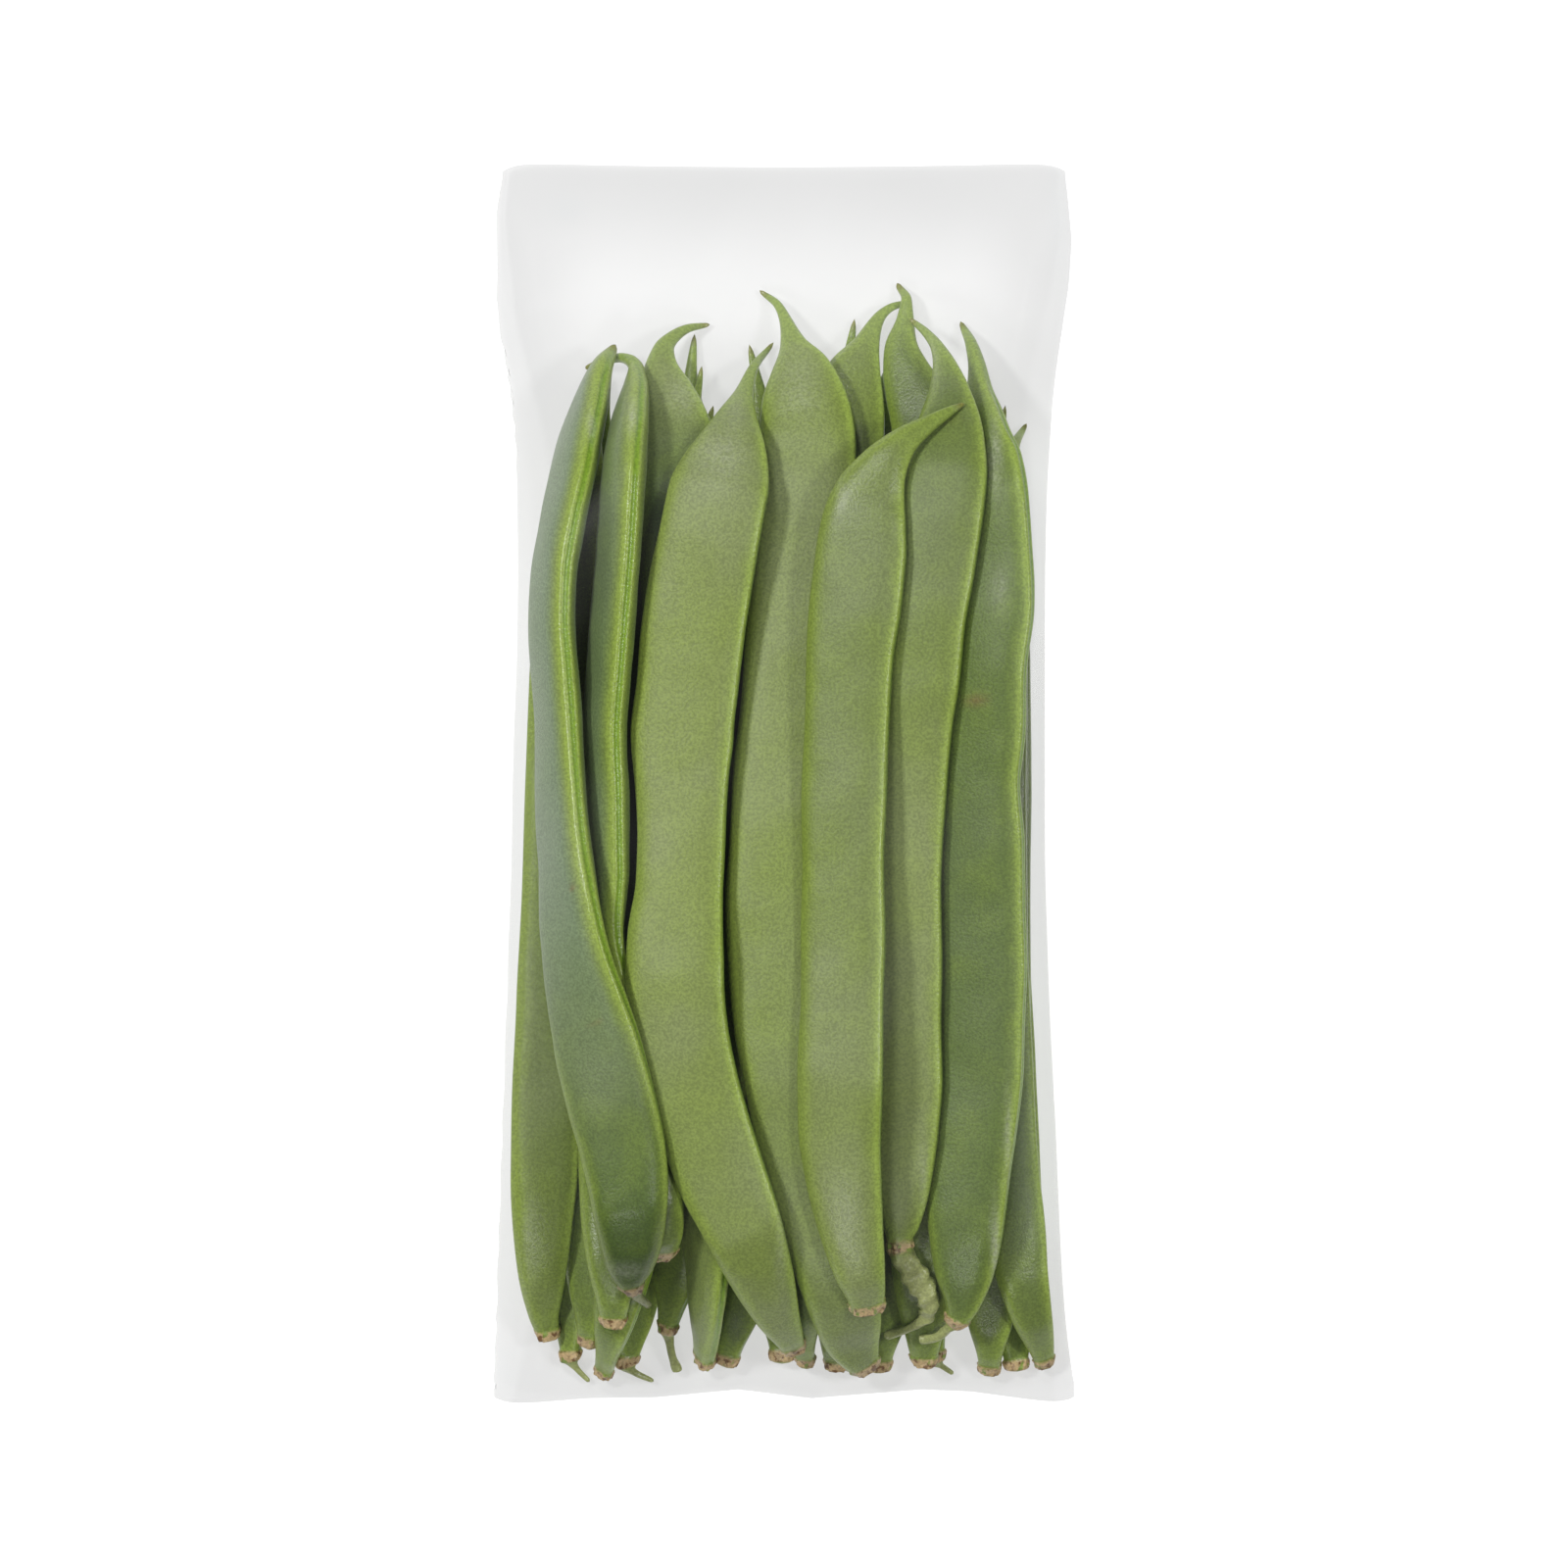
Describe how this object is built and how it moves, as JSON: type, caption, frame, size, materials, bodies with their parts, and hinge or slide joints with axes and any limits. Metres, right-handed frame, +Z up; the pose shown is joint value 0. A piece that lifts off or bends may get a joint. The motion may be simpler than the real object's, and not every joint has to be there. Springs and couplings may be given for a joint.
{
  "type": "green bean bundle",
  "caption": "Bundle of flat green beans lying lengthwise in a clear film bag, with beaks at the open end.",
  "frame": {"origin": "middle of the bag's length and width, on the surface that the bag lies on", "axes": "+X across the bag, +Y along it towards its open end and the beans' beaks, +Z up"},
  "size_m": [0.1188, 0.254, 0.0457],
  "materials": {
    "bean": "matte",
    "film": "gloss"
  },
  "bodies": {
    "root": {"bean_back_far_left": "bean", "bean_back_left": "bean", "bean_back_middle": "bean", "bean_back_right": "bean", "bean_back_far_right": "bean", "bean_inner_left": "bean", "bean_inner_middle": "bean", "bean_inner_centre": "bean", "bean_inner_right": "bean", "bean_inner_low_left": "bean", "bean_inner_far_right": "bean", "bean_low_left": "bean", "bean_low_inner_left": "bean", "bean_second_left": "bean", "bean_second_right": "bean", "bean_second_middle": "bean", "bean_right_rim": "bean", "bean_second_far_right": "bean", "bean_front_right": "bean", "bean_front_middle": "bean", "bean_left_on_edge": "bean", "bean_left_rim": "bean", "bean_front_left": "bean", "bean_front_inner_right": "bean", "bean_front_top": "bean", "film_bag": "film"}
  },
  "joints": []
}
